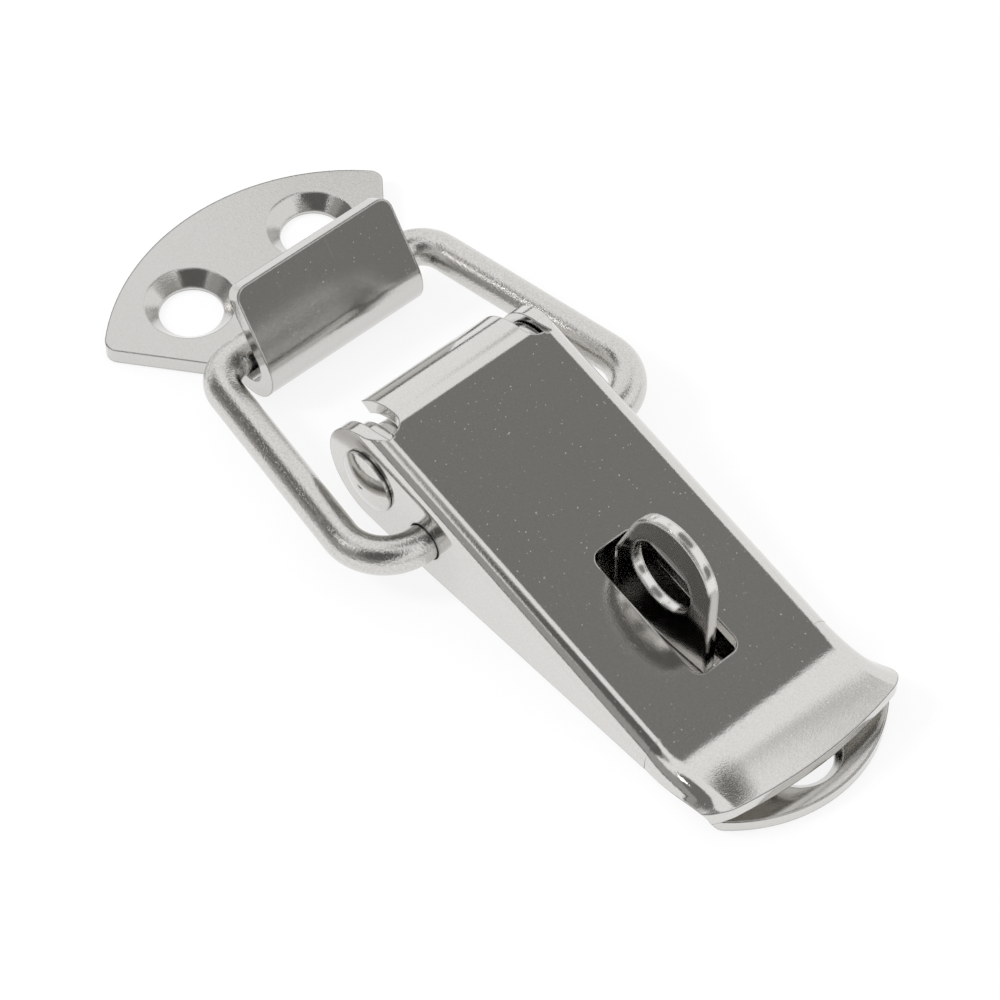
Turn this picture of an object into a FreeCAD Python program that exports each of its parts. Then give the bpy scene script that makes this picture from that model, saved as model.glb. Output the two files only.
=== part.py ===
import FreeCAD, Part
import math
import os
import Sketcher

# Over centre toggle latch. X runs along the latch towards the handle end, Y across it, Z up.
# Every piece is drawn about the rivet axis, and is then placed so that the origin is on the
# mounting plane, midway between the two screw holes of the base.

# Driving sizes, in millimetres and degrees.
sizes = {
    # rivet and its height
    "pin_height": 5.6,
    "shank_radius": 1.9,
    "head_radius": 2.8,
    "head_height": 0.9,
    "head_rim": 0.25,
    "running_fit": 0.05,
    # lever: folded sheet, channel with a curled front tongue and a flared lip
    "lever_sheet": 1.2,
    "lever_half_width": 9.8,
    "lever_bend": 1.7,
    "lever_inner_bend": 0.5,
    "lever_slope": 14.45,
    "lever_rise": 5.56,
    "flange_clear": 0.5,
    "flange_ear": 4.8,
    "channel_end": 32.5,
    "lip_inset": 0.03,
    "tongue_radius": 5.6,
    "tongue_inset": 3.1,
    "tongue_end": 156.0,
    "tongue_tip": 1.6,
    "tongue_root": 1.3,
    "window_front": 18.0,
    "window_rear": 30.5,
    "window_half_width": 2.35,
    "window_corner": 1.0,
    "lip_length": 9.7,
    "lip_flare": 0.5,
    "lip_crown": 1.5,
    "lip_corner": 2.6,
    "lip_dip": 2.5,
    "lip_rise": 3.85,
    # bail: one bent wire
    "wire_radius": 1.6,
    "bail_pivot_x": 6.8,
    "bail_pivot_z": 4.2,
    "bail_fit": 0.1,
    "bar_x": -18.2,
    "bar_z": 3.7,
    "leg_gap": 5.4,
    "bar_margin": 3.2,
    "rear_bend": 4.2,
    "front_bend": 3.0,
    "stub_reach": 1.05,
    # base: folded sheet with two ears and a rolled knuckle
    "base_sheet": 1.1,
    "base_side_clear": 0.15,
    "ear_radius": 4.0,
    "ear_rear": 10.0,
    "ear_rear_height": 2.0,
    "ear_step": 5.0,
    "ear_bend": 1.3,
    "bend_relief": 0.8,
    "strip_clear": 0.3,
    "plate_front": 5.5,
    "knuckle_radius": 3.3,
    "knuckle_inset": 0.4,
    "knuckle_root": 0.6,
    "tail_start": 38.4,
    "tail_flare": 0.75,
    "tail_arc": 12.9,
    "tail_arc_centre": 31.1,
    "tail_corner": 1.0,
    "tail_hole_x": 39.4,
    "front_hole_x": 11.8,
    "base_hole_radius": 2.8,
    "base_sink": 0.7,
    # padlock staple: flat stamped plate let through the base
    "staple_sheet": 0.95,
    "staple_front": 18.9,
    "staple_rear": 29.4,
    "staple_shoulder": 7.3,
    "staple_arc": 4.5,
    "staple_arc_height": 10.25,
    "eye_x": 24.07,
    "eye_z": 8.45,
    "eye_radius": 3.3,
    # catch plate with its hook
    "catch_sheet": 1.5,
    "hook_front": -14.2,
    "hook_inner_bend": 2.0,
    "hook_turn": 124.0,
    "hook_top": 11.2,
    "hook_half_width": 8.2,
    "hook_corner": 1.2,
    "neck_x": -19.0,
    "neck_round": 1.5,
    "fan_angle": 38.5,
    "fan_arc": 20.27,
    "fan_arc_centre": -14.6,
    "fan_corner": 1.2,
    "catch_hole_x": -27.13,
    "catch_hole_y": 6.65,
    "catch_hole_radius": 2.75,
    "catch_sink": 1.2,
}

doc = FreeCAD.newDocument("ToggleLatch")
sheet = doc.addObject("Spreadsheet::Sheet", "Sizes")
for row, (name, value) in enumerate(sizes.items(), start=1):
    sheet.set("A%d" % row, name)
    sheet.set("B%d" % row, str(value))
    sheet.setAlias("B%d" % row, name)
doc.recompute()


def size(name):
    return float(sheet.get(name))


origin_shift = "-(Sizes.tail_hole_x + Sizes.front_hole_x) / 2"


def new_body(name):
    body = doc.addObject("PartDesign::Body", name)
    body.Label = name
    return body


def new_sketch(body, name, role, offset=0.0):
    sketch = body.newObject("Sketcher::SketchObject", name)
    support = [item for item in body.Origin.OriginFeatures if item.Role == role][0]
    sketch.AttachmentSupport = [(support, "")]
    sketch.MapMode = "FlatFace"
    sketch.AttachmentOffset = FreeCAD.Placement(
        FreeCAD.Vector(0, 0, offset), FreeCAD.Rotation())
    return sketch


def vec(point):
    return FreeCAD.Vector(point[0], point[1], 0)


def on_circle(centre, radius, degrees):
    angle = math.radians(degrees)
    return (centre[0] + radius * math.cos(angle), centre[1] + radius * math.sin(angle))


# A step is a point for a straight edge, or a pair (point passed, end point) for an arc.
def draw(sketch, start, steps, closed=True):
    first = len(sketch.Geometry)
    here = start
    for step in steps:
        if isinstance(step[0], tuple):
            sketch.addGeometry(Part.Arc(vec(here), vec(step[0]), vec(step[1])), False)
            here = step[1]
        else:
            sketch.addGeometry(Part.LineSegment(vec(here), vec(step)), False)
            here = step
    last = len(sketch.Geometry)
    pairs = [(index, index + 1) for index in range(first, last - 1)]
    if closed:
        pairs.append((last - 1, first))
    for left, right in pairs:
        for a in (1, 2):
            for b in (1, 2):
                if left == last - 1 and last - first == 2 and a == b:
                    continue
                gap = sketch.getPoint(left, a).distanceToPoint(sketch.getPoint(right, b))
                if gap < 1e-6:
                    sketch.addConstraint(Sketcher.Constraint("Coincident", left, a, right, b))
    for index in range(first, last):
        sketch.addConstraint(Sketcher.Constraint("Block", index))


# Rounds the corners of a closed run of points (x, y, radius) and draws it.
def draw_rounded(sketch, corners):
    steps = []
    start = None
    count = len(corners)
    for index in range(count):
        x, y, radius = corners[index]
        if radius <= 0:
            if start is None:
                start = (x, y)
            else:
                steps.append((x, y))
            continue
        px, py, _ = corners[index - 1]
        nx, ny, _ = corners[(index + 1) % count]
        to_last = vec((px - x, py - y)).normalize()
        to_next = vec((nx - x, ny - y)).normalize()
        half = to_last.getAngle(to_next) / 2
        reach = radius / math.tan(half)
        middle = (to_last + to_next).normalize() * (radius / math.sin(half))
        centre = vec((x, y)) + middle
        entry = vec((x, y)) + to_last * reach
        leave = vec((x, y)) + to_next * reach
        crown = centre - middle.normalize() * radius
        if start is None:
            start = (entry.x, entry.y)
        else:
            steps.append((entry.x, entry.y))
        steps.append(((crown.x, crown.y), (leave.x, leave.y)))
    steps.append(start)
    draw(sketch, start, steps)


# A circle whose radius and centre are bound to expressions over the sheet.
def draw_circle(sketch, x, y, radius):
    ring = Part.Circle(vec((x[0], y[0])), FreeCAD.Vector(0, 0, 1), radius[0])
    index = sketch.addGeometry(ring, False)
    rule = sketch.addConstraint(Sketcher.Constraint("Radius", index, radius[0]))
    sketch.setExpression("Constraints[%d]" % rule, radius[1])
    for kind, (value, expression) in (("DistanceX", x), ("DistanceY", y)):
        if value > 0:
            rule = sketch.addConstraint(Sketcher.Constraint(kind, -1, 1, index, 3, value))
            sketch.setExpression("Constraints[%d]" % rule, expression)
        elif value < 0:
            rule = sketch.addConstraint(Sketcher.Constraint(kind, index, 3, -1, 1, -value))
            sketch.setExpression("Constraints[%d]" % rule, "-(" + expression + ")")
        else:
            axis = -2 if kind == "DistanceX" else -1
            sketch.addConstraint(Sketcher.Constraint("PointOnObject", index, 3, axis))


def both_sides(feature):
    if hasattr(feature, "SideType"):
        feature.SideType = "Symmetric"
    else:
        feature.Midplane = True


def add_pad(body, name, sketch, length, symmetric=True):
    pad = body.newObject("PartDesign::Pad", name)
    pad.Profile = sketch
    pad.setExpression("Length", length)
    if symmetric:
        both_sides(pad)
    doc.recompute()
    return pad


def add_pocket(body, name, sketch, length=None):
    before = body.Shape.Volume
    pocket = body.newObject("PartDesign::Pocket", name)
    pocket.Profile = sketch
    if length is None:
        pocket.Type = "ThroughAll"
    else:
        pocket.setExpression("Length", length)
    both_sides(pocket)
    doc.recompute()
    if not body.Shape.Volume < before - 1e-6:
        raise RuntimeError(name + " removed nothing")
    return pocket


def edges_where(feature, test):
    names = []
    for index, edge in enumerate(feature.Shape.Edges, start=1):
        if test(edge):
            names.append("Edge%d" % index)
    return names


def add_fillet(body, name, feature, test, radius):
    fillet = body.newObject("PartDesign::Fillet", name)
    fillet.Base = (feature, edges_where(feature, test))
    fillet.setExpression("Radius", radius)
    doc.recompute()
    return fillet


def add_chamfer(body, name, feature, test, reach):
    chamfer = body.newObject("PartDesign::Chamfer", name)
    chamfer.Base = (feature, edges_where(feature, test))
    chamfer.setExpression("Size", reach)
    doc.recompute()
    return chamfer


def is_line(edge):
    return edge.Curve.TypeId == "Part::GeomLine"


def near(a, b, margin=0.02):
    return abs(a - b) < margin


def ring_at(edge, x, y, z, radius):
    if edge.Curve.TypeId != "Part::GeomCircle":
        return False
    centre = edge.Curve.Center
    return (near(edge.Curve.Radius, radius) and near(centre.z, z)
            and near(centre.x, x) and near(abs(centre.y), abs(y)))


pin = (0.0, size("pin_height"))
beyond = 3 * size("channel_end")

# ---- pivot rivet: shank with two domed heads, turned about its own axis
head_face = size("lever_half_width") + size("running_fit")
rivet = new_body("pivot_rivet")
outline = new_sketch(rivet, "rivet_half", "XY_Plane")
shank = size("shank_radius")
head = size("head_radius")
rim = head_face + size("head_rim")
top = head_face + size("head_height")
bow = top - rim
dome = (head * head + bow * bow) / (2 * bow)
lean = math.degrees(math.asin(head / dome)) / 2
crown = on_circle((0.0, top - dome), dome, 90 - lean)
draw(outline, (0.0, -top), [
    ((crown[0], -crown[1]), (head, -rim)),
    (head, -head_face),
    (shank, -head_face),
    (shank, head_face),
    (head, head_face),
    (head, rim),
    (crown, (0.0, top)),
    (0.0, -top),
])
turned = rivet.newObject("PartDesign::Revolution", "rivet_turned")
turned.Profile = outline
turned.ReferenceAxis = (outline, ["V_Axis"])
turned.Angle = 360
rivet.setExpression("Placement.Base.z", "Sizes.pin_height")
doc.recompute()

# ---- lever: channel block, hollowed, with the tongue, window, holes and flared lip
lever = new_body("lever")
sheet_t = size("lever_sheet")
slope = math.radians(size("lever_slope"))
rise = size("lever_rise")
fall = math.tan(slope)


def top_z(x):
    return pin[1] + rise / math.cos(slope) - fall * x


crease = (rise * math.sin(slope), pin[1] + rise * math.cos(slope))
channel_end = size("channel_end")
flange_ear = size("flange_ear")
side = new_sketch(lever, "lever_side", "XZ_Plane")
draw(side, crease, [
    on_circle(pin, flange_ear, 96),
    (on_circle(pin, flange_ear, 183), on_circle(pin, flange_ear, 270)),
    (size("bail_pivot_x"), size("flange_clear")),
    (channel_end + 3, size("flange_clear")),
    (channel_end + 3, top_z(channel_end + 3)),
    crease,
])
block = add_pad(lever, "lever_block", side, "2 * Sizes.lever_half_width")
half = size("lever_half_width")
bent = add_fillet(
    lever, "lever_bends", block,
    lambda e: is_line(e) and near(abs(e.CenterOfMass.y), half) and e.Length > 20
    and e.CenterOfMass.z > 5,
    "Sizes.lever_bend")
hollow = new_sketch(lever, "lever_inside", "XZ_Plane")
drop = sheet_t / math.cos(slope)
front_cut = crease[0] - 0.05
draw(hollow, (front_cut, beyond), [
    (front_cut, top_z(front_cut) - drop),
    (beyond, top_z(beyond) - drop),
    (beyond, -beyond),
    (-beyond, -beyond),
    (-beyond, beyond),
    (front_cut, beyond),
])
hollowed = add_pocket(lever, "lever_hollow", hollow, "2 * (Sizes.lever_half_width - Sizes.lever_sheet)")
inner = half - sheet_t
softened = add_fillet(
    lever, "lever_inner_bends", hollowed,
    lambda e: is_line(e) and near(abs(e.CenterOfMass.y), inner) and e.Length > 20
    and e.CenterOfMass.z > 2 and abs(e.tangentAt(e.FirstParameter).z) > 0.1,
    "Sizes.lever_inner_bend")

# the channel ends square, and the lip carries on from there
square = new_sketch(lever, "channel_square", "XZ_Plane")
draw_rounded(square, [
    (channel_end, -beyond, 0), (beyond, -beyond, 0), (beyond, beyond, 0), (channel_end, beyond, 0),
])
add_pocket(lever, "channel_cut", square)

# the tongue curls round the rivet from the crease
outer_r = size("tongue_radius")
inner_r = outer_r - sheet_t
normal = 90 - size("lever_slope")
start_outer = normal + math.degrees(math.acos(rise / outer_r))
start_inner = normal + math.degrees(math.acos((rise - sheet_t) / inner_r))
end = size("tongue_end")
root_x = crease[0] + 2.2
curl = new_sketch(lever, "tongue_side", "XZ_Plane")
draw(curl, on_circle(pin, outer_r, start_outer), [
    (on_circle(pin, outer_r, (start_outer + end) / 2), on_circle(pin, outer_r, end)),
    on_circle(pin, inner_r, end),
    (on_circle(pin, inner_r, (start_inner + end) / 2), on_circle(pin, inner_r, start_inner)),
    (root_x, top_z(root_x) - drop),
    (root_x, top_z(root_x)),
    on_circle(pin, outer_r, start_outer),
])
flat_half = half - size("lever_bend")
tongue = add_pad(lever, "tongue", curl, "2 * (Sizes.lever_half_width - Sizes.lever_bend)")
waist = new_sketch(lever, "tongue_waist", "XY_Plane")
narrow = half - size("tongue_inset")
root = size("tongue_root")
wide = inner - 0.01
for sign in (1, -1):
    draw_rounded(waist, [
        (crease[0] - 0.3, sign * narrow, root),
        (crease[0] - 0.3, sign * wide, 0),
        (-beyond, sign * wide, 0),
        (-beyond, sign * narrow, 0),
    ])
waisted = add_pocket(lever, "tongue_sides", waist)
tip_mid = on_circle(pin, (outer_r + inner_r) / 2, end)
rounded = add_fillet(
    lever, "tongue_tip_corners", waisted,
    lambda e: is_line(e) and near(e.CenterOfMass.x, tip_mid[0], 0.1)
    and near(e.CenterOfMass.z, tip_mid[1], 0.1) and near(abs(e.CenterOfMass.y), narrow),
    "Sizes.tongue_tip")

# Cross-section of the lip: flat middle, bent side, all one sheet.
def lip_section(name, x, top_height, flat, turn, bend, length, inset=0.0):
    section = new_sketch(lever, name, "YZ_Plane", x)
    angle = math.radians(turn)
    top_height -= inset
    bend -= inset
    length -= inset
    thick = sheet_t - 2 * inset
    inside = bend - thick
    centre = (flat, top_height - bend)
    outer_mid = on_circle(centre, bend, 90 - turn / 2)
    outer_end = on_circle(centre, bend, 90 - turn)
    inner_mid = on_circle(centre, inside, 90 - turn / 2)
    inner_end = on_circle(centre, inside, 90 - turn)
    along = (math.cos(angle) * length, -math.sin(angle) * length)
    outer_tip = (outer_end[0] + along[0], outer_end[1] + along[1])
    inner_tip = (inner_end[0] + along[0], inner_end[1] + along[1])

    def flip(point):
        return (-point[0], point[1])

    draw(section, (-flat, top_height), [
        (flat, top_height),
        (outer_mid, outer_end),
        outer_tip,
        inner_tip,
        inner_end,
        (inner_mid, (flat, top_height - thick)),
        (-flat, top_height - thick),
        (flip(inner_mid), flip(inner_end)),
        flip(inner_tip),
        flip(outer_tip),
        flip(outer_end),
        (flip(outer_mid), (-flat, top_height)),
    ])
    return section


bend = size("lever_bend")
run = size("lip_length")
lip_end = channel_end + run
dip = size("lip_dip")
lift = size("lip_rise")
sections = [
    lip_section("lip_root", channel_end, top_z(channel_end), flat_half, 90.0, bend,
                top_z(channel_end) - bend - size("flange_clear"), size("lip_inset")),
    lip_section("lip_dip_section", channel_end + run * 0.36, dip, flat_half + 0.05, 70.0,
                bend + 0.1, 0.35),
    lip_section("lip_flare", channel_end + run * 0.68, dip + 0.34 * (lift - dip),
                flat_half + 0.2, 33.0, bend + 0.6, 0.8),
    lip_section("lip_tip", lip_end + 0.3, lift, flat_half + 0.5, 8.0, bend + 4.3, 1.7),
]
lip = lever.newObject("PartDesign::AdditiveLoft", "lip")
lip.Profile = sections[0]
lip.Sections = sections[1:]
lip.Ruled = False
doc.recompute()
trim = new_sketch(lever, "lip_outline", "XY_Plane")
lip_half = half + size("lip_flare")
sag = size("lip_crown")
arc_r = (lip_half * lip_half + sag * sag) / (2 * sag)
arc_x = lip_end - arc_r
corner = size("lip_corner")
# the corner blends the straight side into the end arc
reach = arc_r - corner
corner_y = lip_half - corner
corner_x = arc_x + math.sqrt(reach * reach - corner_y * corner_y)
corner_angle = math.degrees(math.atan2(corner_y, corner_x - arc_x))
blend = on_circle((arc_x, 0.0), arc_r, corner_angle)
blend_mid = on_circle((corner_x, corner_y), corner, (90 + corner_angle) / 2)
draw(trim, (channel_end - 1, -lip_half), [
    (corner_x, -lip_half),
    ((blend_mid[0], -blend_mid[1]), (blend[0], -blend[1])),
    ((lip_end, 0.0), blend),
    (blend_mid, (corner_x, lip_half)),
    (channel_end - 1, lip_half),
    (channel_end - 1, beyond),
    (beyond, beyond),
    (beyond, -beyond),
    (channel_end - 1, -beyond),
    (channel_end - 1, -lip_half),
])
add_pocket(lever, "lip_trim", trim)

# window for the padlock staple
window = new_sketch(lever, "window_outline", "XY_Plane")
corner = size("window_corner")
draw_rounded(window, [
    (size("window_front"), -size("window_half_width"), corner),
    (size("window_rear"), -size("window_half_width"), corner),
    (size("window_rear"), size("window_half_width"), corner),
    (size("window_front"), size("window_half_width"), corner),
])
add_pocket(lever, "window", window)

# rivet and wire holes through both flanges
drill = new_sketch(lever, "lever_holes", "XZ_Plane")
draw_circle(drill, (0.0, "0"), (pin[1], "Sizes.pin_height"),
            (shank + size("running_fit"), "Sizes.shank_radius + Sizes.running_fit"))
draw_circle(drill, (size("bail_pivot_x"), "Sizes.bail_pivot_x"),
            (size("bail_pivot_z"), "Sizes.bail_pivot_z"),
            (size("wire_radius") + size("bail_fit"), "Sizes.wire_radius + Sizes.bail_fit"))
drilled = add_pocket(lever, "holes", drill)

# ---- base plate: ears folded up, knuckle rolled round the rivet, long tail
base = new_body("base_plate")
base_t = size("base_sheet")
base_half = inner - size("base_side_clear")
ear = size("ear_radius")
ear_rear = size("ear_rear")
ear_low = size("ear_rear_height")
step = size("ear_step")
reach_x = step - pin[0]
reach_z = ear_low - pin[1]
away = math.hypot(reach_x, reach_z)
touch = math.degrees(math.atan2(reach_z, reach_x) + math.acos(ear / away))
ears = new_sketch(base, "ear_side", "XZ_Plane")
draw(ears, (-ear, 0.0), [
    (ear_rear, 0.0),
    (ear_rear, ear_low),
    (step, ear_low),
    on_circle(pin, ear, touch),
    (on_circle(pin, ear, (touch + 180) / 2), on_circle(pin, ear, 180)),
    (-ear, 0.0),
])
ear_block = add_pad(
    base, "ear_block", ears,
    "2 * (Sizes.lever_half_width - Sizes.lever_sheet - Sizes.base_side_clear)")
bent_ears = add_fillet(
    base, "ear_bends", ear_block,
    lambda e: is_line(e) and near(abs(e.CenterOfMass.y), base_half) and near(e.CenterOfMass.z, 0),
    "Sizes.ear_bend")
between = new_sketch(base, "between_ears", "XZ_Plane")
draw_rounded(between, [
    (-beyond, base_t, 0), (beyond, base_t, 0), (beyond, beyond, 0), (-beyond, beyond, 0),
])
add_pocket(
    base, "ear_gap", between,
    "2 * (Sizes.lever_half_width - Sizes.lever_sheet - Sizes.base_side_clear - Sizes.base_sheet)")
opening = new_sketch(base, "tongue_room", "XY_Plane")
strip = narrow + size("strip_clear")
plate_front = size("plate_front")
draw_rounded(opening, [
    (-beyond, -strip, 0), (plate_front, -strip, 0.6), (plate_front, strip, 0.6), (-beyond, strip, 0),
])
add_pocket(base, "tongue_opening", opening)
ear_inner = base_half - base_t
floor = new_sketch(base, "floor_outline", "XY_Plane")
relief = size("bend_relief")
tail_x = size("tail_start")
tail_half = base_half + size("tail_flare")
tail_r = size("tail_arc")
tail_c = size("tail_arc_centre")
tail_corner = size("tail_corner")
inset = tail_half - tail_corner
turn_x = tail_c + math.sqrt((tail_r - tail_corner) ** 2 - inset ** 2)
turn_angle = math.degrees(math.atan2(inset, turn_x - tail_c))
tail_touch = on_circle((tail_c, 0.0), tail_r, turn_angle)
tail_mid = on_circle((turn_x, inset), tail_corner, (90 + turn_angle) / 2)
step_x = tail_x + tail_half - base_half
neck = ear_inner - 0.4
draw(floor, (plate_front + 1.0, -neck), [
    (ear_rear + relief, -neck),
    (ear_rear + relief, -base_half),
    (tail_x, -base_half),
    (step_x, -tail_half),
    (turn_x, -tail_half),
    ((tail_mid[0], -tail_mid[1]), (tail_touch[0], -tail_touch[1])),
    ((tail_c + tail_r, 0.0), tail_touch),
    (tail_mid, (turn_x, tail_half)),
    (step_x, tail_half),
    (tail_x, base_half),
    (ear_rear + relief, base_half),
    (ear_rear + relief, neck),
    (plate_front + 1.0, neck),
    (plate_front + 1.0, -neck),
])
add_pad(base, "floor", floor, "Sizes.base_sheet", symmetric=False)
roll = new_sketch(base, "knuckle_side", "XZ_Plane")
out_r = size("knuckle_radius")
in_r = out_r - base_t
fold = size("knuckle_root")
fold_c = (out_r + fold, base_t + fold)
draw(roll, (plate_front + 1.5, 0.0), [
    (fold_c[0], 0.0),
    (on_circle(fold_c, fold + base_t, 225), (in_r, fold_c[1])),
    (in_r, pin[1]),
    (on_circle(pin, in_r, 135), on_circle(pin, in_r, 270)),
    on_circle(pin, out_r, 270),
    (on_circle(pin, out_r, 135), on_circle(pin, out_r, 0)),
    (out_r, fold_c[1]),
    (on_circle(fold_c, fold, 225), (fold_c[0], base_t)),
    (plate_front + 1.5, base_t),
    (plate_front + 1.5, 0.0),
])
add_pad(base, "knuckle", roll, "2 * (Sizes.lever_half_width - Sizes.tongue_inset - Sizes.knuckle_inset)")
seats = new_sketch(base, "rivet_seats", "XZ_Plane")
draw_circle(seats, (0.0, "0"), (pin[1], "Sizes.pin_height"), (shank, "Sizes.shank_radius"))
add_pocket(base, "rivet_holes", seats)
foot = new_sketch(base, "staple_slot", "XY_Plane")
foot_half = size("staple_sheet") / 2
draw_rounded(foot, [
    (size("staple_front"), -foot_half, 0),
    (size("staple_rear"), -foot_half, 0),
    (size("staple_rear"), foot_half, 0),
    (size("staple_front"), foot_half, 0),
])
add_pocket(base, "slot", foot)
screw = new_sketch(base, "base_holes", "XY_Plane")
hole_r = size("base_hole_radius")
for alias in ("tail_hole_x", "front_hole_x"):
    draw_circle(screw, (size(alias), "Sizes." + alias), (0.0, "0"), (hole_r, "Sizes.base_hole_radius"))
bored = add_pocket(base, "screw_holes", screw)
add_chamfer(
    base, "base_sinks", bored,
    lambda e: ring_at(e, size("tail_hole_x"), 0, base_t, hole_r)
    or ring_at(e, size("front_hole_x"), 0, base_t, hole_r),
    "Sizes.base_sink")

# ---- padlock staple: a flat plate standing on the centre line
staple = new_body("padlock_staple")
blank = new_sketch(staple, "staple_outline", "XZ_Plane")
arc_r = size("staple_arc")
arc_c = (size("staple_rear") - arc_r, size("staple_arc_height"))
shoulder = (size("staple_front"), size("staple_shoulder"))
away = math.hypot(shoulder[0] - arc_c[0], shoulder[1] - arc_c[1])
touch = math.degrees(
    math.atan2(shoulder[1] - arc_c[1], shoulder[0] - arc_c[0]) - math.acos(arc_r / away))
touch = touch % 360
draw(blank, (shoulder[0], 0.0), [
    (size("staple_rear"), 0.0),
    (size("staple_rear"), arc_c[1]),
    (on_circle(arc_c, arc_r, touch / 2), on_circle(arc_c, arc_r, touch)),
    shoulder,
    (shoulder[0], 0.0),
])
add_pad(staple, "staple_plate", blank, "Sizes.staple_sheet")
eye = new_sketch(staple, "staple_eye", "XZ_Plane")
draw_circle(eye, (size("eye_x"), "Sizes.eye_x"), (size("eye_z"), "Sizes.eye_z"),
            (size("eye_radius"), "Sizes.eye_radius"))
add_pocket(staple, "eye", eye)

# ---- bail: round wire bent to a trapezoid, its ends turned in to the lever flanges
bail = new_body("bail")
pivot = (size("bail_pivot_x"), size("bail_pivot_z"))
length = math.hypot(pivot[0] - size("bar_x"), pivot[1] - size("bar_z"))
tilt = math.degrees(math.atan2(pivot[1] - size("bar_z"), pivot[0] - size("bar_x")))
path = new_sketch(bail, "wire_path", "XY_Plane")
rear = half + size("leg_gap")
front = size("hook_half_width") + size("bar_margin")
stub = half - size("stub_reach")


def round_corner(last, corner, after, radius):
    to_last = vec((last[0] - corner[0], last[1] - corner[1])).normalize()
    to_next = vec((after[0] - corner[0], after[1] - corner[1])).normalize()
    half_angle = to_last.getAngle(to_next) / 2
    far = radius / math.tan(half_angle)
    middle = (to_last + to_next).normalize()
    crown_point = vec(corner) + middle * (radius / math.sin(half_angle) - radius)
    entry = vec(corner) + to_last * far
    leave = vec(corner) + to_next * far
    return (entry.x, entry.y), (crown_point.x, crown_point.y), (leave.x, leave.y)


turns = [
    (0.0, -stub), (0.0, -rear), (-length, -front), (-length, front), (0.0, rear), (0.0, stub),
]
radii = [size("rear_bend"), size("front_bend"), size("front_bend"), size("rear_bend")]
steps = []
for index, radius in enumerate(radii, start=1):
    entry, crown_point, leave = round_corner(turns[index - 1], turns[index], turns[index + 1], radius)
    steps.append(entry)
    steps.append((crown_point, leave))
steps.append(turns[-1])
draw(path, turns[0], steps, closed=False)
wire = new_sketch(bail, "wire_section", "XZ_Plane", stub)
draw_circle(wire, (0.0, "0"), (0.0, "0"), (size("wire_radius"), "Sizes.wire_radius"))
swept = bail.newObject("PartDesign::AdditivePipe", "wire")
swept.Profile = wire
swept.Spine = (path, ["Edge%d" % (index + 1) for index in range(len(path.Geometry))])
doc.recompute()
bail.Placement = FreeCAD.Placement(
    FreeCAD.Vector(pivot[0], 0, pivot[1]),
    FreeCAD.Rotation(FreeCAD.Vector(0, 1, 0), -tilt))
bail.setExpression("Placement.Base.x", "Sizes.bail_pivot_x " + origin_shift)
bail.setExpression("Placement.Base.z", "Sizes.bail_pivot_z")

# ---- catch plate: fan-shaped plate with two countersunk holes and a hook bent back
catch = new_body("catch_plate")
catch_t = size("catch_sheet")
hook_in = size("hook_inner_bend")
hook_out = hook_in + catch_t
hook_c = (size("hook_front") - hook_out, hook_out)
turn = size("hook_turn")
along = math.radians(turn)
outer_end = on_circle(hook_c, hook_out, turn - 90)
inner_end = on_circle(hook_c, hook_in, turn - 90)
flap = (size("hook_top") - outer_end[1]) / math.sin(along)
shift = (math.cos(along) * flap, math.sin(along) * flap)
hook_half = size("hook_half_width")
neck_x = size("neck_x")
strip_start = neck_x - 1.0
strip_side = new_sketch(catch, "catch_side", "XZ_Plane")
draw(strip_side, (strip_start, 0.0), [
    (hook_c[0], 0.0),
    (on_circle(hook_c, hook_out, (turn - 90 - 90) / 2), outer_end),
    (outer_end[0] + shift[0], outer_end[1] + shift[1]),
    (inner_end[0] + shift[0], inner_end[1] + shift[1]),
    inner_end,
    (on_circle(hook_c, hook_in, (turn - 90 - 90) / 2), (hook_c[0], catch_t)),
    (strip_start, catch_t),
    (strip_start, 0.0),
])
add_pad(catch, "hook", strip_side, "2 * Sizes.hook_half_width")
plan = new_sketch(catch, "fan_plan", "XY_Plane")
fan_r = size("fan_arc")
fan_c = size("fan_arc_centre")
grow = math.tan(math.radians(size("fan_angle")))
# the slanted side leaves the neck and meets the outer arc at this distance along X
qa = 1 + grow * grow
qb = 2 * grow * hook_half - 2 * (neck_x - fan_c)
qc = (neck_x - fan_c) ** 2 + hook_half ** 2 - fan_r ** 2
far = (-qb + math.sqrt(qb * qb - 4 * qa * qc)) / (2 * qa)
fan_corner = (neck_x - far, hook_half + grow * far)
draw(plan, (hook_c[0], -hook_half), [
    (hook_c[0], hook_half),
    (neck_x, hook_half),
    fan_corner,
    ((fan_c - fan_r, 0.0), (fan_corner[0], -fan_corner[1])),
    (neck_x, -hook_half),
    (hook_c[0], -hook_half),
])
planned = add_pad(catch, "fan", plan, "Sizes.catch_sheet", symmetric=False)
fan_edges = add_fillet(
    catch, "fan_corners", planned,
    lambda e: is_line(e) and near(e.Length, catch_t) and near(e.CenterOfMass.x, fan_corner[0], 0.1),
    "Sizes.fan_corner")
neck_edges = add_fillet(
    catch, "neck_corners", fan_edges,
    lambda e: is_line(e) and near(e.Length, catch_t) and near(e.CenterOfMass.x, neck_x)
    and near(abs(e.CenterOfMass.y), hook_half),
    "Sizes.neck_round")
flap_edges = add_fillet(
    catch, "hook_corners", neck_edges,
    lambda e: is_line(e) and near(e.Length, catch_t) and e.CenterOfMass.z > outer_end[1] + 1
    and near(abs(e.CenterOfMass.y), hook_half),
    "Sizes.hook_corner")
fixings = new_sketch(catch, "catch_holes", "XY_Plane")
for sign, text in ((1, ""), (-1, "-")):
    draw_circle(fixings, (size("catch_hole_x"), "Sizes.catch_hole_x"),
                (sign * size("catch_hole_y"), text + "Sizes.catch_hole_y"),
                (size("catch_hole_radius"), "Sizes.catch_hole_radius"))
pierced = add_pocket(catch, "catch_screw_holes", fixings)
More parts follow.
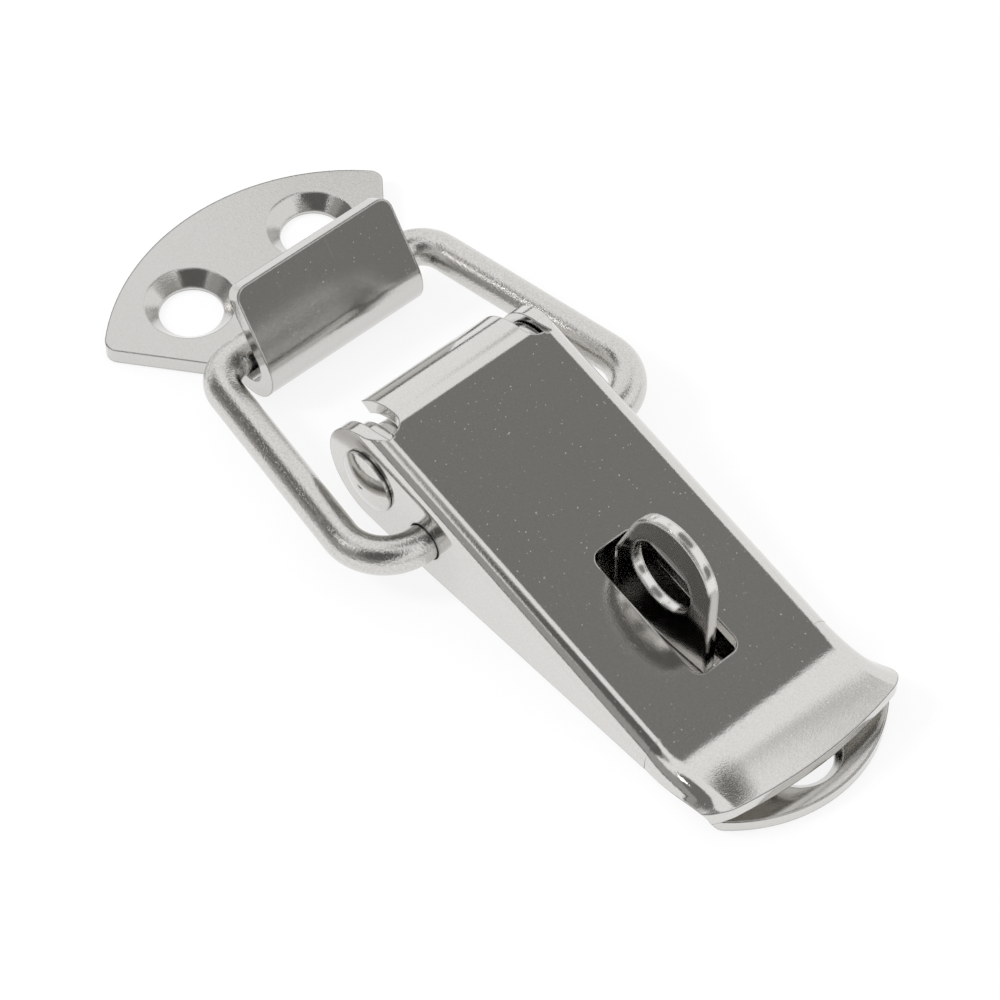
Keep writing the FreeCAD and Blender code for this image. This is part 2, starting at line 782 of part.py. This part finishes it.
add_chamfer(
    catch, "catch_sinks", pierced,
    lambda e: ring_at(e, size("catch_hole_x"), size("catch_hole_y"), catch_t, size("catch_hole_radius")),
    "Sizes.catch_sink")

nodes = [base, staple, lever, bail, catch, rivet]
for node in nodes:
    if node is not bail:
        node.setExpression("Placement.Base.x", origin_shift)
doc.recompute()
for item in doc.Objects:
    if "Invalid" in item.State or "Error" in item.State:
        raise RuntimeError("failed: " + item.Name + " " + str(item.State))
os.makedirs("parts", exist_ok=True)
for node in nodes:
    shape = node.Shape
    if shape.isNull() or not shape.isValid() or len(shape.Solids) != 1:
        raise RuntimeError("bad shape: " + node.Label + " solids " + str(len(shape.Solids)))
    box = shape.BoundBox
    print(node.Label, round(shape.Volume, 2),
          [round(v, 2) for v in (box.XMin, box.XMax, box.YMin, box.YMax, box.ZMin, box.ZMax)])
for node in nodes:
    node.Shape.exportStep("parts/" + node.Label + ".step")
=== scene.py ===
import math

import bpy
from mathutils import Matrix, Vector

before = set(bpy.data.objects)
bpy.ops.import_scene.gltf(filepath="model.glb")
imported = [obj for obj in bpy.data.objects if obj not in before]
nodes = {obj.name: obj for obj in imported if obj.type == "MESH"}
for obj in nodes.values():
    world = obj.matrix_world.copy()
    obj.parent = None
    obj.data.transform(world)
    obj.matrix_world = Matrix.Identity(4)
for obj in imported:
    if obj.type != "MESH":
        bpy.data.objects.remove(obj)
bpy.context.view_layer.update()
print("frame loaded:", sorted(nodes))


def addNode(tree, kind, **settings):
    node = tree.nodes.new(kind)
    for name, value in settings.items():
        setattr(node, name, value)
    return node


def startMaterial(name):
    material = bpy.data.materials.new(name)
    material.use_nodes = True
    tree = material.node_tree
    tree.nodes.clear()
    shader = addNode(tree, "ShaderNodeBsdfPrincipled")
    output = addNode(tree, "ShaderNodeOutputMaterial")
    tree.links.new(shader.outputs["BSDF"], output.inputs["Surface"])
    return material, tree, shader


def objectPattern(tree, scale=(1, 1, 1), turn=(0, 0, 0)):
    place = addNode(tree, "ShaderNodeTexCoord")
    mapping = addNode(tree, "ShaderNodeMapping")
    mapping.inputs["Scale"].default_value = scale
    mapping.inputs["Rotation"].default_value = turn
    tree.links.new(place.outputs["Object"], mapping.inputs["Vector"])
    return mapping.outputs["Vector"]


def noiseAt(tree, vector, size, detail, rough):
    noise = addNode(tree, "ShaderNodeTexNoise")
    noise.inputs["Scale"].default_value = 1.0 / size
    noise.inputs["Detail"].default_value = detail
    noise.inputs["Roughness"].default_value = rough
    tree.links.new(vector, noise.inputs["Vector"])
    return noise.outputs["Fac"]


def rangeOf(tree, value, low, high, toLow=0.0, toHigh=1.0):
    node = addNode(tree, "ShaderNodeMapRange", clamp=True)
    node.inputs["From Min"].default_value = low
    node.inputs["From Max"].default_value = high
    node.inputs["To Min"].default_value = toLow
    node.inputs["To Max"].default_value = toHigh
    tree.links.new(value, node.inputs["Value"])
    return node.outputs["Result"]


def mathOf(tree, operation, first, second=0.0):
    node = addNode(tree, "ShaderNodeMath", operation=operation)
    for index, value in enumerate((first, second)):
        if isinstance(value, (int, float)):
            node.inputs[index].default_value = value
        else:
            tree.links.new(value, node.inputs[index])
    return node.outputs[0]


def mixColors(tree, share, first, second):
    node = addNode(tree, "ShaderNodeMix", data_type="RGBA")
    tree.links.new(share, node.inputs[0])
    for index, color in ((6, first), (7, second)):
        if isinstance(color, tuple):
            node.inputs[index].default_value = color
        else:
            tree.links.new(color, node.inputs[index])
    return node.outputs[2]


# Shared by every steel piece. Each noise has its detail and roughness, and each fade says where its
# pattern starts and where it is full.
steelNoise = {"cloud": (3.0, 0.5), "peel": (3.0, 0.6), "grain": (4.0, 0.7), "pit": (1.0, 0.4),
              "scratch": (2.0, 0.7)}
# Two of the fades shape painted light: the shade in creases and the dark reflection line along edges.
steelFades = {"cloud": (0.35, 0.68), "grain": (0.35, 0.65), "scratch": (0.70, 0.78),
              "gap": (0.15, 0.75), "rim": (0.74, 0.93), "pitWidth": 0.06}
raySamples = {"gap": 4, "edge": 6}
# Dark colour for the painted shade in creases and the painted dark reflection line along edges.
paintedShadeColor = (0.09, 0.09, 0.088, 1)


# The metal's colour: grain and pin pits, plus painted shade that darkens creases and the gaps between
# pieces.
def steelColorAndShade(tree, look, plain, pitMask):
    darker, lighter = ((*(part * (1 + change) for part in look["color"]), 1)
                       for change in (-look["grain"], look["grain"]))
    grain = noiseAt(tree, plain, look["peelSize"], *steelNoise["grain"])
    color = mixColors(tree, rangeOf(tree, grain, *steelFades["grain"]), darker, lighter)
    # Painted shade: ambient occlusion mixes the dark colour into creases and gaps between pieces.
    gap = addNode(tree, "ShaderNodeAmbientOcclusion", samples=raySamples["gap"])
    gap.inputs["Distance"].default_value = look["gapReach"]
    color = mixColors(tree, rangeOf(tree, gap.outputs["AO"], *steelFades["gap"]), paintedShadeColor, color)
    pitShare = mathOf(tree, "MULTIPLY", pitMask, look["pitShade"])
    return mixColors(tree, pitShare, color, (*look["markColor"], 1))


# 1 along the seam, and 0 everywhere else on the piece.
def seamMask(tree, plain, seam):
    place = addNode(tree, "ShaderNodeSeparateXYZ")
    tree.links.new(plain, place.inputs[0])
    off = mathOf(tree, "ABSOLUTE", mathOf(tree, "SUBTRACT", place.outputs["X"], seam["at"]))
    side = mathOf(tree, "ABSOLUTE", place.outputs["Y"])
    near = mathOf(tree, "MULTIPLY", mathOf(tree, "LESS_THAN", off, seam["reach"]),
                  mathOf(tree, "LESS_THAN", side, seam["half"]))
    return mathOf(tree, "MULTIPLY", near,
                  mathOf(tree, "GREATER_THAN", place.outputs["Z"], seam["above"]))


# Bright polished sheet or wire: soft clouding, orange peel, pin pits, hairline scratches and
# slightly rounded edges with a painted dark reflection line along them.
def polishedSteel(name, look, seam=None):
    material, tree, shader = startMaterial(name)
    shader.inputs["Metallic"].default_value = 1.0
    plain = objectPattern(tree)
    clouds = noiseAt(tree, plain, look["cloudSize"], *steelNoise["cloud"])
    peel = noiseAt(tree, plain, look["peelSize"], *steelNoise["peel"])
    pits = noiseAt(tree, plain, look["pitSize"], *steelNoise["pit"])
    pitMask = rangeOf(tree, pits, look["pitStart"], look["pitStart"] + steelFades["pitWidth"])
    along = objectPattern(tree, look["scratchStretch"], (0, 0, look["scratchTurn"]))
    lines = noiseAt(tree, along, 1.0, *steelNoise["scratch"])
    lineMask = rangeOf(tree, lines, *steelFades["scratch"])

    worn = rangeOf(tree, clouds, *steelFades["cloud"], look["roughLow"], look["roughHigh"])
    worn = mathOf(tree, "ADD", worn, mathOf(tree, "MULTIPLY", lineMask, look["scratchRough"]))
    tree.links.new(worn, shader.inputs["Roughness"])

    # Painted reflection: where the bevelled normal turns away from the flat one, the base colour is
    # darkened into a line along the edges.
    rounded = addNode(tree, "ShaderNodeBevel", samples=raySamples["edge"])
    rounded.inputs["Radius"].default_value = look["edge"]
    flatNormal = addNode(tree, "ShaderNodeNewGeometry")
    bend = addNode(tree, "ShaderNodeVectorMath", operation="DOT_PRODUCT")
    tree.links.new(rounded.outputs["Normal"], bend.inputs[0])
    tree.links.new(flatNormal.outputs["Normal"], bend.inputs[1])
    rim = rangeOf(tree, bend.outputs["Value"], *steelFades["rim"], look["rimShade"], 0.0)
    normal = rounded.outputs["Normal"]
    if seam:
        near = seamMask(tree, plain, seam)
        rim = mathOf(tree, "MULTIPLY", rim, mathOf(tree, "SUBTRACT", 1.0, near))
        level = addNode(tree, "ShaderNodeVectorTransform", vector_type="NORMAL",
                        convert_from="OBJECT", convert_to="WORLD")
        level.inputs[0].default_value = seam["normal"]
        smooth = addNode(tree, "ShaderNodeMix", data_type="VECTOR")
        tree.links.new(near, smooth.inputs[0])
        tree.links.new(normal, smooth.inputs[4])
        tree.links.new(level.outputs[0], smooth.inputs[5])
        normal = smooth.outputs[1]

    height = mathOf(tree, "ADD", mathOf(tree, "MULTIPLY", peel, look["peelHeight"]),
                    mathOf(tree, "MULTIPLY", pitMask, -look["pitDepth"]))
    height = mathOf(tree, "ADD", height, mathOf(tree, "MULTIPLY", lineMask, -look["scratchDepth"]))
    bump = addNode(tree, "ShaderNodeBump")
    bump.inputs["Strength"].default_value = 1.0
    bump.inputs["Distance"].default_value = 1.0
    tree.links.new(height, bump.inputs["Height"])
    tree.links.new(normal, bump.inputs["Normal"])
    tree.links.new(bump.outputs["Normal"], shader.inputs["Normal"])

    # The painted dark reflection line along edges goes into the base colour here.
    color = mixColors(tree, rim, steelColorAndShade(tree, look, plain, pitMask), paintedShadeColor)
    tree.links.new(color, shader.inputs["Base Color"])
    return material


def dress(nodeName, material):
    mesh = nodes[nodeName].data
    mesh.materials.clear()
    mesh.materials.append(material)


# Sizes are in metres; heights and depths are how far the surface moves.
# In each look, one reach sets how far the painted shade in creases spreads, and one shade sets how dark
# the painted reflection line along edges is.
leverLook = {
    "color": (0.68, 0.67, 0.651), "grain": 0.05, "gapReach": 0.0008,
    "rimShade": 0.85, "edge": 0.00022,
    "cloudSize": 0.009, "roughLow": 0.055, "roughHigh": 0.095,
    "peelSize": 0.00016, "peelHeight": 0.000005,
    "markColor": (0.85, 0.84, 0.82),
    "pitSize": 0.0002, "pitStart": 0.75, "pitDepth": 0.000006, "pitShade": 0.55,
    "scratchStretch": (60, 1500, 60), "scratchTurn": 0.9,
    "scratchRough": 0.06, "scratchDepth": 0.0000008,
}
# The lip joins the channel with a tiny step; the edge isn't rounded there and gets no painted dark edge
# line.
lipSeam = {"at": 0.0069, "reach": 0.00025, "half": 0.0082, "above": 0.0024,
           "normal": (0.2495, 0, 0.9684)}
dress("lever", polishedSteel("leverSteel", leverLook, lipSeam))

catchLook = {
    "color": (0.62, 0.612, 0.595), "grain": 0.035, "gapReach": 0.0008,
    "rimShade": 0.6, "edge": 0.0003,
    "cloudSize": 0.008, "roughLow": 0.05, "roughHigh": 0.1,
    "peelSize": 0.00016, "peelHeight": 0.000009,
    "markColor": (0.85, 0.84, 0.82),
    "pitSize": 0.0002, "pitStart": 0.755, "pitDepth": 0.000006, "pitShade": 0.35,
    "scratchStretch": (50, 1300, 50), "scratchTurn": -0.6,
    "scratchRough": 0.1, "scratchDepth": 0.000001,
}
dress("catch_plate", polishedSteel("catchSteel", catchLook))

baseLook = {
    "color": (0.66, 0.65, 0.63), "grain": 0.03, "gapReach": 0.0008,
    "rimShade": 0.5, "edge": 0.0003,
    "cloudSize": 0.01, "roughLow": 0.06, "roughHigh": 0.11,
    "peelSize": 0.00016, "peelHeight": 0.000006,
    "markColor": (0.8, 0.79, 0.77),
    "pitSize": 0.0002, "pitStart": 0.77, "pitDepth": 0.000005, "pitShade": 0.3,
    "scratchStretch": (40, 1200, 40), "scratchTurn": 0.3,
    "scratchRough": 0.1, "scratchDepth": 0.000001,
}
dress("base_plate", polishedSteel("baseSteel", baseLook))

stapleLook = {
    "color": (0.74, 0.73, 0.71), "grain": 0.02, "gapReach": 0.0002,
    "rimShade": 0.1, "edge": 0.00055,
    "cloudSize": 0.006, "roughLow": 0.08, "roughHigh": 0.13,
    "peelSize": 0.00016, "peelHeight": 0.000004,
    "markColor": (0.85, 0.84, 0.82),
    "pitSize": 0.00018, "pitStart": 0.77, "pitDepth": 0.000004, "pitShade": 0.3,
    "scratchStretch": (900, 50, 60), "scratchTurn": 0.1,
    "scratchRough": 0.08, "scratchDepth": 0.0000006,
}
dress("padlock_staple", polishedSteel("stapleSteel", stapleLook))

wireLook = {
    "color": (0.64, 0.63, 0.61), "grain": 0.1, "gapReach": 0.0008,
    "rimShade": 0.3, "edge": 0.0001,
    "cloudSize": 0.005, "roughLow": 0.06, "roughHigh": 0.1,
    "peelSize": 0.00018, "peelHeight": 0.00003,
    "markColor": (0.55, 0.54, 0.52),
    "pitSize": 0.00022, "pitStart": 0.72, "pitDepth": 0.000012, "pitShade": 0.35,
    "scratchStretch": (60, 1400, 700), "scratchTurn": 0.2,
    "scratchRough": 0.06, "scratchDepth": 0.000002,
}
dress("bail", polishedSteel("wireSteel", wireLook))

rivetLook = {
    "color": (0.66, 0.65, 0.63), "grain": 0.06, "gapReach": 0.0008,
    "rimShade": 0.4, "edge": 0.0002,
    "cloudSize": 0.003, "roughLow": 0.05, "roughHigh": 0.09,
    "peelSize": 0.00018, "peelHeight": 0.000006,
    "markColor": (0.5, 0.49, 0.47),
    "pitSize": 0.00025, "pitStart": 0.74, "pitDepth": 0.000008, "pitShade": 0.35,
    "scratchStretch": (300, 300, 900), "scratchTurn": 0.5,
    "scratchRough": 0.08, "scratchDepth": 0.000002,
}
dress("pivot_rivet", polishedSteel("rivetSteel", rivetLook))
print("steel finishes set")


def deselectAll():
    for item in bpy.context.selected_objects:
        item.select_set(False)


# The white room: floor and world. The camera, metal and glass see the floor as nearly white.
roomLook = {"floorWhite": 0.9, "floorShow": 0.85, "floorRough": 0.9, "floorSpecular": 0.1,
            "floorSize": 6.0, "floorHeight": -0.0002, "worldLevel": 1.0}

deselectAll()
bpy.ops.mesh.primitive_plane_add(size=roomLook["floorSize"], location=(0, 0, roomLook["floorHeight"]))
floor = bpy.context.object
floor.name = "whiteFloor"
floorPaint, floorTree, floorShader = startMaterial("floorPaint")
floorShader.inputs["Base Color"].default_value = (roomLook["floorWhite"],) * 3 + (1,)
floorShader.inputs["Roughness"].default_value = roomLook["floorRough"]
floorShader.inputs["Specular IOR Level"].default_value = roomLook["floorSpecular"]
glow = addNode(floorTree, "ShaderNodeEmission")
glow.inputs["Color"].default_value = (1, 1, 1, 1)
rays = addNode(floorTree, "ShaderNodeLightPath")
seen = mathOf(floorTree, "ADD", rays.outputs["Is Camera Ray"], rays.outputs["Is Glossy Ray"])
seen = mathOf(floorTree, "ADD", seen, rays.outputs["Is Transmission Ray"])
share = mathOf(floorTree, "MULTIPLY", seen, roomLook["floorShow"])
blend = addNode(floorTree, "ShaderNodeMixShader")
floorTree.links.new(share, blend.inputs[0])
floorTree.links.new(floorShader.outputs["BSDF"], blend.inputs[1])
floorTree.links.new(glow.outputs["Emission"], blend.inputs[2])
floorTree.links.new(blend.outputs["Shader"], floorTree.nodes["Material Output"].inputs["Surface"])
floor.data.materials.append(floorPaint)

world = bpy.data.worlds.new("whiteRoom")
bpy.context.scene.world = world
world.use_nodes = True
background = world.node_tree.nodes["Background"]
background.inputs["Color"].default_value = (1, 1, 1, 1)
background.inputs["Strength"].default_value = roomLook["worldLevel"]
print("white room set")

# Round cards stand where the flat faces mirror them: most show the dark of the studio, and the last
# is a bright glint.
cardSides = 64
cardColor = (1.0, 0.985, 0.955, 1)
cards = {
    "ceilingCard": {"toward": (0.03, 0.41, 0.911), "from": (-0.012, 0, 0.007),
                    "away": 0.5, "across": 0.33, "shade": 0.235},
    "handleCard": {"toward": (0.902, 0.41, 0.133), "from": (-0.042, 0, 0.008),
                   "away": 0.5, "across": 0.26, "shade": 0.245},
    "sideCard": {"toward": (-0.02, -0.41, 0.911), "from": (-0.012, 0, 0.007),
                 "away": 0.5, "across": 0.16, "shade": 0.5},
    "lensCard": {"toward": (0.43, -0.56, 0.71), "from": (-0.02, 0, 0.004),
                 "away": 0.4, "across": 0.44, "shade": 0.14},
    "legCard": {"toward": (-0.66, -0.43, 0.62), "from": (-0.032, -0.013, 0.004),
                "away": 0.5, "across": 0.42, "shade": 0.2},
    "standCard": {"toward": (-0.68, 0.445, 0.595), "from": (0.0132, 0.001, 0.003),
                  "away": 0.5, "across": 0.11, "shade": 0.62, "slim": 0.25},
    "glintCard": {"toward": (-0.44, -0.57, 0.69), "from": (-0.012, 0, 0.007),
                  "away": 0.5, "across": 0.06, "shade": 6.0},
}


# A card or wall shows in reflections only, and casts no shadow.
def paintCard(panel, name, shade):
    panel.name = name
    paint = bpy.data.materials.new(name + "Paint")
    paint.use_nodes = True
    tree = paint.node_tree
    tree.nodes.clear()
    light = addNode(tree, "ShaderNodeEmission")
    light.inputs["Color"].default_value = cardColor
    light.inputs["Strength"].default_value = shade
    output = addNode(tree, "ShaderNodeOutputMaterial")
    tree.links.new(light.outputs["Emission"], output.inputs["Surface"])
    panel.data.materials.append(paint)
    panel.visible_camera = False
    panel.visible_diffuse = False
    panel.visible_shadow = False


for cardName, card in cards.items():
    deselectAll()
    toward = Vector(card["toward"]).normalized()
    bpy.ops.mesh.primitive_circle_add(vertices=cardSides, radius=card["across"] / 2,
                                      fill_type="NGON",
                                      location=Vector(card["from"]) + toward * card["away"],
                                      rotation=toward.to_track_quat("Z", "Y").to_euler())
    bpy.context.object.scale.x = card.get("slim", 1)
    paintCard(bpy.context.object, cardName, card["shade"])

# Round walls: a low dark line where the floor ends, and a grey wall on the bail's near side.
wallSteps = 72
walls = {
    "horizonBand": {"radius": 0.8, "low": 0.0, "high": 0.055, "start": 142, "end": 435, "shade": 0.03},
    "nearWall": {"radius": 0.78, "low": 0.06, "high": 0.6, "start": 205, "end": 315, "shade": 0.4},
}
for wallName, wall in walls.items():
    points = []
    for step in range(wallSteps + 1):
        around = math.radians(wall["start"] + (wall["end"] - wall["start"]) * step / wallSteps)
        for level in (wall["low"], wall["high"]):
            points.append((wall["radius"] * math.cos(around), wall["radius"] * math.sin(around), level))
    quads = [(2 * step, 2 * step + 2, 2 * step + 3, 2 * step + 1) for step in range(wallSteps)]
    deselectAll()
    bpy.ops.mesh.primitive_plane_add(size=1.0)
    panel = bpy.context.object
    panel.data.clear_geometry()
    panel.data.from_pydata(points, [], quads)
    paintCard(panel, wallName, wall["shade"])
print("cards and walls set")

# One soft lamp, which the metal doesn't mirror. It and the camera aim at the latch's middle.
aimPoint = Vector((-0.01807, -0.00246, 0.004))
keyLamp = {"place": (-0.35, -0.45, 0.55), "across": 0.18, "power": 2.4}
bulb = bpy.data.lights.new("keyLamp", "AREA")
bulb.shape = "DISK"
bulb.size = keyLamp["across"]
bulb.energy = keyLamp["power"]
holder = bpy.data.objects.new("keyLamp", bulb)
holder.location = keyLamp["place"]
holder.rotation_euler = (Vector(keyLamp["place"]) - aimPoint).to_track_quat("Z", "Y").to_euler()
holder.visible_glossy = False
bpy.context.scene.collection.objects.link(holder)

# The camera stands as the photograph's did. Angles are in degrees, sensor and lens in millimetres.
cameraLook = {"azimuth": 48.42, "elevation": 51.87, "away": 0.29995, "lens": 134.8, "sensor": 36.0,
              "clipStart": 0.01, "clipEnd": 20.0}
lensData = bpy.data.cameras.new("photoCamera")
lensData.lens = cameraLook["lens"]
lensData.sensor_width = cameraLook["sensor"]
lensData.clip_start = cameraLook["clipStart"]
lensData.clip_end = cameraLook["clipEnd"]
camera = bpy.data.objects.new("photoCamera", lensData)
azimuth = math.radians(cameraLook["azimuth"])
elevation = math.radians(cameraLook["elevation"])
back = Vector((math.sin(azimuth) * math.cos(elevation),
               -math.cos(azimuth) * math.cos(elevation), math.sin(elevation)))
camera.location = aimPoint + back * cameraLook["away"]
camera.rotation_euler = back.to_track_quat("Z", "Y").to_euler()
bpy.context.scene.collection.objects.link(camera)
bpy.context.scene.camera = camera
bpy.context.scene.view_settings.view_transform = "Standard"
print("lamp and camera set")
